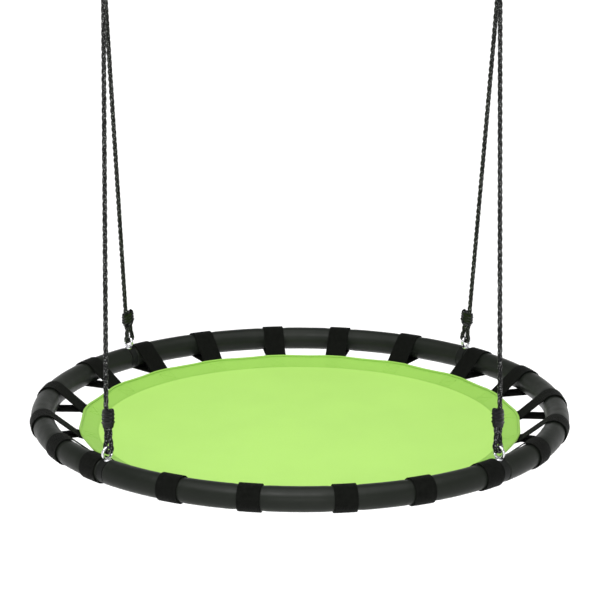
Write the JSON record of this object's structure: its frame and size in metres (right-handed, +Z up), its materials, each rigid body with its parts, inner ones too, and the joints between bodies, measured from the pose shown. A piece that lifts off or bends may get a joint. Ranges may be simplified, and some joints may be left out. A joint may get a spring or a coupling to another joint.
{
  "type": "saucer nest swing",
  "caption": "Padded hoop nest swing with a strapped fabric saucer seat, hung on two ropes from rings and snap hooks.",
  "frame": {"origin": "midway between the two hanger pins that the snap hooks hang on", "axes": "+Z up, +X along the beam from the left hook to the right hook, the swing travels along Y"},
  "size_m": [1.0028, 1.0027, 0.9632],
  "materials": {
    "hook_steel": "satin",
    "ring_steel": "satin",
    "eye_steel": "polished",
    "bolt_steel": "satin",
    "tube_steel": "satin",
    "foam_sleeve": "satin",
    "collar_plastic": "satin",
    "clamp_plastic": "satin",
    "webbing": "matte",
    "rope_fibre": "matte",
    "seat_fabric": "matte",
    "band_fabric": "matte",
    "hem_fabric": "matte"
  },
  "bodies": {
    "hooks": {"snap_hook_left": "hook_steel", "snap_hook_right": "hook_steel", "gate_hinge_pins": "bolt_steel"},
    "gate_left": {"hook_gate_left": "hook_steel", "latch_pin_left": "bolt_steel"},
    "gate_right": {"hook_gate_right": "hook_steel", "latch_pin_right": "bolt_steel"},
    "ring_left": {"hanging_ring_left": "ring_steel"},
    "ring_right": {"hanging_ring_right": "ring_steel"},
    "ropes_left": {"rope_left": "rope_fibre", "rope_clamp_front_left": "clamp_plastic", "rope_clamp_back_left": "clamp_plastic"},
    "ropes_right": {"rope_right": "rope_fibre", "rope_clamp_front_right": "clamp_plastic", "rope_clamp_back_right": "clamp_plastic"},
    "seat": {"eye_bolt_back_right": "eye_steel", "eye_bolt_back_left": "eye_steel", "eye_bolt_front_left": "eye_steel", "eye_bolt_front_right": "eye_steel", "joint_collar_back_right": "collar_plastic", "joint_collar_back_left": "collar_plastic", "joint_collar_front_left": "collar_plastic", "joint_collar_front_right": "collar_plastic", "barrel_nut_back_right": "bolt_steel", "barrel_nut_back_left": "bolt_steel", "barrel_nut_front_left": "bolt_steel", "barrel_nut_front_right": "bolt_steel", "frame_tube_back": "tube_steel", "frame_tube_left": "tube_steel", "frame_tube_front": "tube_steel", "frame_tube_right": "tube_steel", "foam_sleeve_back": "foam_sleeve", "foam_sleeve_left": "foam_sleeve", "foam_sleeve_front": "foam_sleeve", "foam_sleeve_right": "foam_sleeve", "seat_floor": "seat_fabric", "seat_band": "band_fabric", "hem_cord": "hem_fabric", "strap_01": "webbing", "strap_02": "webbing", "strap_03": "webbing", "strap_04": "webbing", "strap_05": "webbing", "strap_06": "webbing", "strap_07": "webbing", "strap_08": "webbing", "strap_09": "webbing", "strap_10": "webbing", "strap_11": "webbing", "strap_12": "webbing", "strap_13": "webbing", "strap_14": "webbing", "strap_15": "webbing", "strap_16": "webbing", "strap_17": "webbing", "strap_18": "webbing", "strap_19": "webbing", "strap_20": "webbing"}
  },
  "joints": [
    {"name": "swing_left", "type": "hinge", "parent": "hooks", "child": "ring_left", "pos_m": [-0.352, 0, -0.05465], "axis": [1, 0, 0], "range_deg": [-45, 45]},
    {"name": "swing_right", "type": "hinge", "parent": "hooks", "child": "ring_right", "pos_m": [0.352, 0, -0.05465], "axis": [1, 0, 0], "range_deg": [-45, 45]},
    {"name": "sway_left", "type": "hinge", "parent": "ring_left", "child": "ropes_left", "pos_m": [-0.352, 0, -0.10465], "axis": [0, 1, 0], "range_deg": [-12, 12]},
    {"name": "sway_right", "type": "hinge", "parent": "ring_right", "child": "ropes_right", "pos_m": [0.352, 0, -0.10465], "axis": [0, 1, 0], "range_deg": [-12, 12]},
    {"name": "seat_level", "type": "hinge", "parent": "ropes_left", "child": "seat", "pos_m": [-0.33598, 0, -0.86475], "axis": [0, 1, 0], "range_deg": [-13, 13]},
    {"name": "gate_left_open", "type": "hinge", "parent": "hooks", "child": "gate_left", "pos_m": [-0.352, 0.014, -0.0435], "axis": [1, 0, 0], "range_deg": [0, 22], "stiffness_Nm_per_rad": 0.06, "springref_deg": -20.05},
    {"name": "gate_right_open", "type": "hinge", "parent": "hooks", "child": "gate_right", "pos_m": [0.352, 0.014, -0.0435], "axis": [1, 0, 0], "range_deg": [0, 22], "stiffness_Nm_per_rad": 0.06, "springref_deg": -20.05}
  ],
  "couplings": [
    {"joint": "swing_right", "follows": "swing_left", "ratio": 1},
    {"joint": "sway_right", "follows": "sway_left", "ratio": 1},
    {"joint": "seat_level", "follows": "sway_left", "ratio": -1.047}
  ]
}
